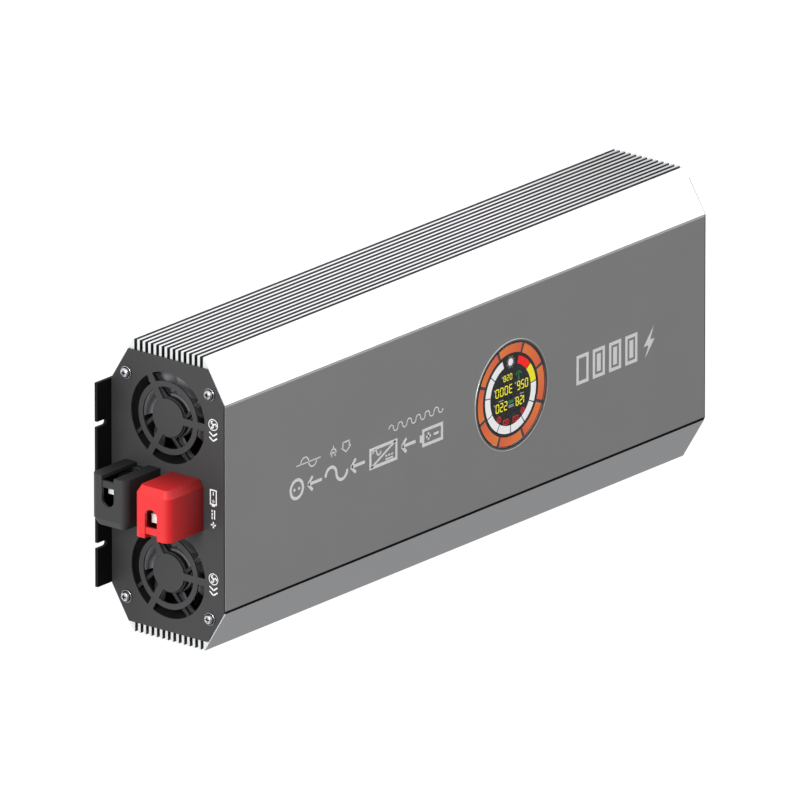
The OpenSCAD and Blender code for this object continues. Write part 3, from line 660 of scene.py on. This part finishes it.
# ---- DC terminals ----
# Plated bars stand out of a black moulded block, each with a bolt, washer and nut for the cable
# lug. A friction-fit cover slides over each: red on the positive, black on the negative.
block_black = finish_of("block_moulding", (30, 30, 32), 0.42, mottle=0.2, spread=0.12, relief=skin, size=1500,
                        depth=0.015)
block_black_edge = finish_of("block_moulding_edge", (48, 48, 50), 0.36, mottle=0.3, spread=0.12)
plated = finish_of("tinned_bar", (252, 252, 250), 0.34, metal=0.2, mottle=0.06, spread=0.12, relief=drawn,
                   size=1100, depth=0.006)
plated_edge = finish_of("tinned_bar_edge", (236, 234, 228), 0.18, metal=1, mottle=0.1, spread=0.08)
eased("terminal_block", 0.25, [block_black, block_black_edge])
for pole in ("plus", "minus"):
    eased("terminal_bar_" + pole, 0.3, [plated, plated_edge], segments=3)
for part in ("terminal_bolts", "terminal_washers", "terminal_nuts"):
    eased(part, 0.2, [blackened, blackened_edge])

cover_red = finish_of("cover_red", (212, 28, 31), 0.5, mottle=0.06, spread=0.08, relief=skin, size=1200,
                      depth=0.008)
cover_red_edge = finish_of("cover_red_edge", (216, 32, 35), 0.46, mottle=0.08, spread=0.08)
cover_black = finish_of("cover_black", (40, 40, 42), 0.5, mottle=0.1, spread=0.1, relief=skin, size=1200,
                        depth=0.008)
cover_black_edge = finish_of("cover_black_edge", (46, 46, 48), 0.46, mottle=0.12, spread=0.1)
# Painted shade: each cover's colour darkens towards the end plate, to 0.34 of itself.
for finish in (cover_red, cover_red_edge, cover_black, cover_black_edge):
    paint_shade_gradient(finish, "X", 218, 258, 0.34)
for pole, pair, slot in (("plus", [cover_red, cover_red_edge], "red_plastic"),
                         ("minus", [cover_black, cover_black_edge], "black_plastic")):
    cover = merged("terminal_cover_" + pole)
    ease(cover, 0.8, 4, sharp=24)
    set_down("terminal_cover_" + pole + "_piece", cover, pair, "cover_" + pole, ["terminal_cover_" + pole])

# ---- Top panel ----
# An extruded aluminium panel, anodised grey with a brushed grain along its length, that slides
# into grooves in the side walls. Its right-hand edge is rounded over, and its left shows a joint.
panel_grey = finish_of("brushed_panel", (167, 167, 167), 0.42, metal=0.5, mottle=0.04, spread=0.06,
                       relief=drawn, size=1500, depth=0.006, streak=0.07)
panel_edge = finish_of("brushed_panel_edge", (172, 172, 172), 0.4, metal=0.6, mottle=0.05, spread=0.08,
                       relief=drawn, size=900, depth=0.008)
panel = merged("top_panel")
# Painted shade: the panel's sides in the joint get the dark joint finish.
for f in panel.faces:
    if abs(f.normal.x) < 0.5 and 83.4 * mm < f.calc_center_median().z < 85.5 * mm:
        f.material_index = 2
crown = [v.co.y for v in panel.verts if v.co.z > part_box("top_panel")[1].z - 1e-5]
ease(panel, 1.4, 6, only=lambda e: all(v.co.y < min(crown) + 1e-5 and v.co.z > 85.9 * mm for v in e.verts))
ease(panel, 0.12, 2, sharp=40)
set_down("top_panel_piece", panel, [panel_grey, panel_edge, joint_shade], "case", ["top_panel"])

# The print on the panel is pale grey: a row of signs from battery to inverter to socket, a fine
# row of waves, two small signs with the alternating-current sign, and a power gauge.
grey_ink = finish_of("grey_ink", (246, 246, 247), 0.5, mottle=0.06, spread=0.08, relief=skin, size=2600,
                     depth=0.004)
print_on = bmesh.new()


def arrow(x0, x1, y, width, head):
    bar(print_on, (x0, y), (x1 - width * 0.4, y), width)
    for s in (-1, 1):
        bar(print_on, (x1 - head, y + s * head), (x1, y), width)


frame_box(print_on, (22.0, -0.75), (41, 10.25), 1.9)
bar(print_on, (41, 4.75), (43.2, 4.75), 4.5)
bar(print_on, (26, 4.75), (30.4, 4.75), 1.5)
bar(print_on, (33, 4.75), (37.4, 4.75), 1.5)
bar(print_on, (35.2, 2.55), (35.2, 6.95), 1.5)
arrow(47, 59.5, 4.75, 1.9, 4.2)
frame_box(print_on, (63.5, -1.75), (89, 11.25), 1.9)
bar(print_on, (65.2, -0.65), (87.3, 10.15), 1.4)
bar(print_on, (67.5, 8.35), (74.5, 8.35), 1.0)
for x in (67.5, 70.1, 72.7):
    bar(print_on, (x, 6.35), (x + 1.8, 6.35), 1.0)
alternating(print_on, 78.6, 2, 1.8, 1.1, 2.05)
arrow(93, 105.5, 4.75, 1.9, 4.2)
alternating(print_on, 109, 2, 4.9, 1.9, 4.75)
arrow(132, 144.5, 4.75, 1.9, 4.2)
arc(print_on, (154.6, 4.75), 4.6, 6.5, 0, 360)
for x in (152.5, 156.7):
    dot(print_on, (x, 4.75), 0.95)
alternating(print_on, 22, 12, 2.05, 0.75, -8.9)

# The small signs: a house, a plug on its flex, and a mains wave drawn on a line.
for s in (-1, 1):
    bar(print_on, (110, -6.0), (110 + s * 4.2, -9.2), 0.9)
    bar(print_on, (110 + s * 2.9, -8.4), (110 + s * 2.9, -12.4), 0.9)
    bar(print_on, (121.5 + s * 1.5, -8.4), (121.5 + s * 1.5, -6.2), 0.8)
bar(print_on, (107.1, -12.2), (112.9, -12.2), 0.9)
arc(print_on, (121.5, -8.6), 1.7, 2.6, 180, 180)
bar(print_on, (118.4, -8.4), (124.6, -8.4), 0.9)
bar(print_on, (121.5, -11), (121.5, -12.8), 0.9)
bar(print_on, (133, -9.1), (155, -9.1), 0.7)
alternating(print_on, 136.6, 2, 3.6, 0.85, -9.1)

# The power gauge: a lightning bolt and four boxes, the first three filled.
bolt = [print_on.verts.new((x * mm, y * mm, 0)) for x, y in (
    (-163.8, 10.5), (-172.4, 0.4), (-168.3, 0.4), (-171.6, -7.5), (-162.4, 3.4), (-166.8, 3.4))]
sides = [print_on.edges.new(pair) for pair in zip(bolt, bolt[1:] + bolt[:1])]
bmesh.ops.triangle_fill(print_on, edges=sides, use_beauty=True)
for x in (-156.5, -141.5, -126.5, -111.5):
    frame_box(print_on, (x, -7.5), (x + 11.2, 10.5), 2.1)
    if x < -112:
        bar(print_on, (x + 5.6, -3.9), (x + 5.6, 6.9), 3.6)
lay_ink("panel_print", print_on, [grey_ink], Matrix.Translation((0, 0, 85.99 * mm)))

# ---- Display ----
# A lit picture under a clear window, framed by a thin turned metal ring that is
# pressed into the panel. The picture's own segments give the light.
display_x = -40.5 * mm
ring_metal = finish_of("turned_ring", (232, 233, 235), 0.36, metal=0.5, mottle=0.05, spread=0.08, relief=skin,
                       size=1800, depth=0.003)
# Painted shade: the ring's flat inner face is coloured grey and its inner step and wall dark, while its rim keeps
# the bright metal.
ring_slope_shade = finish_of("ring_slope_painted_shade", (120, 121, 123), 0.45, metal=0.4, mottle=0.05, spread=0.08,
                      relief=skin, size=1800, depth=0.003)
ring_step_shade = finish_of("ring_step_painted_shade", (34, 37, 41), 0.55, mottle=0.15, spread=0.1, relief=skin, size=2000,
                      depth=0.004)
ring = bmesh.new()
ring_inside = [(31.35, 80), (31.35, 86.05), (31.95, 86.05), (32.05, 86.1), (33.0, 86.14), (33.05, 86.26)]
ring_rim = [(33.15, 86.32), (33.3, 86.32), (33.42, 86.24), (33.48, 86.0)]
ring_neck = [(32.15, 86.0), (32.15, 80), (31.35, 80)]
turn_full(ring, ring_inside + ring_rim + ring_neck, 144)
bmesh.ops.recalc_face_normals(ring, faces=ring.faces)
# Painted shade: grey inside the rim, dark on the inner step and wall.
for f in ring.faces:
    middle = f.calc_center_median()
    out_by = Vector((middle.x, middle.y)).length
    f.material_index = 1 if out_by < 32.0 * mm else 2 if out_by < 33.02 * mm else 0
bmesh.ops.translate(ring, verts=ring.verts, vec=(display_x, 0, 0))
set_down("display_ring", ring, [ring_metal, ring_step_shade, ring_slope_shade], "case", ["display_bezel"])
module_black = finish_of("display_face", (24, 26, 29), 0.6, mottle=0.15, spread=0.1, relief=skin, size=2000,
                         depth=0.004)
dress("display_module", module_black)

clear = bpy.data.materials.new("clear_window")
clear.use_nodes = True
glass = clear.node_tree.nodes["Principled BSDF"]
glass.inputs["Transmission Weight"].default_value = 1
glass.inputs["IOR"].default_value = 1.45
where = clear.node_tree.nodes.new("ShaderNodeTexCoord")
glass.inputs["Roughness"].default_value = 0
wiped = place_group(clear.node_tree, handled, Colour=(0.93, 0.93, 0.94, 1), Mottle=0.03)
wire(clear.node_tree, (where, "Object"), (wiped, "Vector"))
wire(clear.node_tree, (wiped, "Colour"), (glass, "Base Color"))
window = bmesh.new()
turn_full(window, [(0, 84.78), (31.25, 84.78), (31.25, 86.0), (31.05, 86.2), (0, 86.2)], 96)
bmesh.ops.recalc_face_normals(window, faces=window.faces)
bmesh.ops.translate(window, verts=window.verts, vec=(display_x, 0, 0))
set_down("display_glass", window, [clear], "case", ["display_window"])


def lit(name, colour, strength=1.0, second=None):
    """A lit segment: a dark film that glows, slightly uneven like a back light."""
    made = bpy.data.materials.new(name)
    made.use_nodes = True
    tree = made.node_tree
    shader = tree.nodes["Principled BSDF"]
    where = tree.nodes.new("ShaderNodeTexCoord")
    film = place_group(tree, handled, Colour=shade(*colour), Mottle=0.08, Roughness=0.5, Spread=0.1)
    wire(tree, (where, "Object"), (film, "Vector"))
    source = (film, "Colour")
    if second:
        centred = tree.nodes.new("ShaderNodeMapping")
        centred.inputs["Location"].default_value = (-display_x, 0, 0)
        round_by = tree.nodes.new("ShaderNodeTexGradient")
        round_by.gradient_type = "RADIAL"
        wire(tree, (where, "Object"), (centred, "Vector"))
        wire(tree, (centred, 0), (round_by, "Vector"))
        part = sums(tree, "FRACT", sums(tree, "MULTIPLY_ADD", (round_by, "Fac"), 8.0, 0.5))
        blend = tree.nodes.new("ShaderNodeMix")
        blend.data_type = "RGBA"
        wire(tree, part, (blend, "Factor"))
        blend.inputs["A"].default_value = shade(*second)
        wire(tree, source, (blend, "B"))
        source = (blend, "Result")
    wire(tree, source, (shader, "Emission Color"))
    wire(tree, (film, "Roughness"), (shader, "Roughness"))
    shader.inputs["Base Color"].default_value = (0.01, 0.01, 0.01, 1)
    shader.inputs["Specular IOR Level"].default_value = 0.1
    shader.inputs["Emission Strength"].default_value = strength
    return made


picture = bmesh.new()
glows = [lit("lit_orange", (224, 120, 52), 1.05, (214, 90, 54)), lit("lit_white", (244, 244, 244)),
         lit("lit_yellow_bar", (246, 236, 30)), lit("lit_red_bar", (255, 14, 8)),
         lit("lit_digit", (236, 228, 30), 1.45), lit("unlit_digit", (26, 28, 27), 1.0),
         lit("lit_green", (20, 120, 66), 1.0), lit("lit_red_sign", (224, 16, 20), 1.15),
         lit("display_gap", (52, 60, 68), 1.0), lit("lit_grey", (176, 180, 182), 1.0),
         lit("sun_glow", (150, 152, 152), 1.0)]
orange, white, yellow, red, digit, unlit, green, red_sign, gap, grey, halo = range(11)


def colour_in(faces, which):
    for f in faces:
        f.material_index = which


colour_in(arc(picture, (0, 0), 25.1, 31.1, 0, 360, 96), gap)
for k in range(8):
    reach_by = degrees(1.9 / 28.1) / 2
    colour_in(arc(picture, (0, 0), 25.4, 30.8, 45 * k - 22.5 + reach_by, 45 - 2 * reach_by, 12), orange)
for k in range(10):
    start = 252 - 32.4 * k
    colour_in(arc(picture, (0, 0), 18.6, 23.3, start - 0.85, -32.4 + 1.7, 10),
              red if k == 0 else yellow if k == 1 else white)
colour_in(dot(picture, (0, -20), 2.2, 24), white)
for k in range(16):
    a, far = radians(360 / 16 * k), 3.4 + k % 2 * 0.6
    ray_ends = [(by * cos(a), -20 + by * sin(a)) for by in (2.35, far)]
    colour_in(bar(picture, *ray_ends, 0.42), halo)
SEGMENTS = {"0": "abcdef", "1": "bc", "2": "abged", "3": "abgcd", "5": "afgcd", "6": "afgedc", "8": "abcdefg"}


def number(text, x, y, wide, tall, pitch, thick):
    """Seven-segment figures from the left edge x, with y at their middle."""
    for n, figure in enumerate(text):
        l, r, t, b = x + n * pitch, x + n * pitch + wide, y + tall / 2, y - tall / 2
        lines = {"a": ((l, t), (r, t)), "g": ((l, y), (r, y)), "d": ((l, b), (r, b)), "f": ((l, t), (l, y)),
                 "e": ((l, y), (l, b)), "b": ((r, t), (r, y)), "c": ((r, y), (r, b))}
        for name, (p, q) in lines.items():
            colour_in(bar(picture, p, q, thick, thick * 0.32), digit if name in SEGMENTS[figure] else unlit)


number("128", -14.2, 5.6, 2.2, 4.9, 3.5, 0.6)
number("220", 3.3, 5.6, 2.5, 4.9, 3.75, 0.6)
number("056", -15.7, -3.7, 2.3, 4.9, 3.6, 0.6)
number("3000", -1.5, -3.7, 2.6, 4.9, 4.15, 0.58)
number("028", -1.2, -11.1, 1.8, 3.3, 2.85, 0.46)
for x, y in ((-4.3, 3.2), (14.6, 3.2), (-4.3, -6.0), (14.6, -5.9), (7.6, -12.2)):
    colour_in(dot(picture, (x, y), 0.55, 10), grey)
for x0, x1, y in ((-12.2, -8.4, 1.6), (6.4, 11.0, 1.6), (-2.8, 1.9, 7.4), (-2.8, 1.9, 6.4)):
    colour_in(bar(picture, (x0, y), (x1, y), 0.5), grey)
colour_in(bar(picture, (-2.8, 4.2), (1.9, 4.2), 1.9), green)

# A green plant sign stands for the supply, and two crossed rings and two boxes for faults.
colour_in(dot(picture, (-7.4, -8.2), 0.9, 12), green)
colour_in(bar(picture, (-7.4, -9.0), (-7.4, -11.2), 0.9), green)
colour_in(arc(picture, (-7.4, -9.6), 2.2, 3.2, 200, 140, 12), green)
for x, y, s in ((-11.1, 12.5, 0), (10.7, 12.4, 1)):
    colour_in(arc(picture, (x, y), 1.3, 1.85, 0, 360, 18), red_sign)
    colour_in(bar(picture, (x - 1.0 + s, y - 0.9), (x + 1.0 - s, y + 0.9), 0.6), red_sign)
for x in (-4.5, 4.3):
    for half, y in ((2.5, 17.1), (2.5, 14.3), (0.9, 15.7)):
        colour_in(bar(picture, (x - half, y), (x + half, y), 0.5), red_sign)
    for half in (-2.2, 2.2):
        colour_in(bar(picture, (x + half, 14.3), (x + half, 17.1), 0.5), red_sign)
for f in picture.faces:
    f.normal_update()
bmesh.ops.reverse_faces(picture, faces=[f for f in picture.faces if f.normal.z < 0])
lifts = {gap: 0, unlit: 0.03, halo: 0.02}
for f in picture.faces:
    for v in f.verts:
        v.co.z = lifts.get(f.material_index, 0.05) * mm
bmesh.ops.translate(picture, verts=picture.verts, vec=(display_x, 0, 84.64 * mm))
set_down("display_picture", picture, glows, "case")

# ---- Outlet end ----
# Two round-pin sockets, moulded in dark plastic with plated contacts, a tilting power switch and
# an earth stud with two nuts, all carried by the rear end plate.
outlet_plastic = finish_of("outlet_moulding", (44, 45, 47), 0.36, mottle=0.14, spread=0.12, relief=skin,
                           size=1300, depth=0.012)
outlet_edge = finish_of("outlet_moulding_edge", (66, 67, 70), 0.3, mottle=0.2, spread=0.12)
for letter in "ab":
    eased("outlet_body_" + letter, 0.4, [outlet_plastic, outlet_edge], segments=3)
eased("outlet_contacts", 0.15, [brass, brass])
eased("outlet_screws", 0.12, [zinc, zinc_edge])
eased("switch_body", 0.35, [block_black, block_black_edge], segments=3)
rocker_black = finish_of("rocker_moulding", (38, 39, 41), 0.26, mottle=0.12, spread=0.1, relief=skin, size=1100,
                         depth=0.004, coat=0.3)
rocker_edge = finish_of("rocker_moulding_edge", (60, 61, 64), 0.24, mottle=0.12, spread=0.08)
eased("rocker", 0.35, [rocker_black, rocker_edge], segments=3, body="rocker")
eased("earth_stud", 0.25, [brass, brass])
eased("earth_nuts", 0.25, [zinc, zinc_edge])
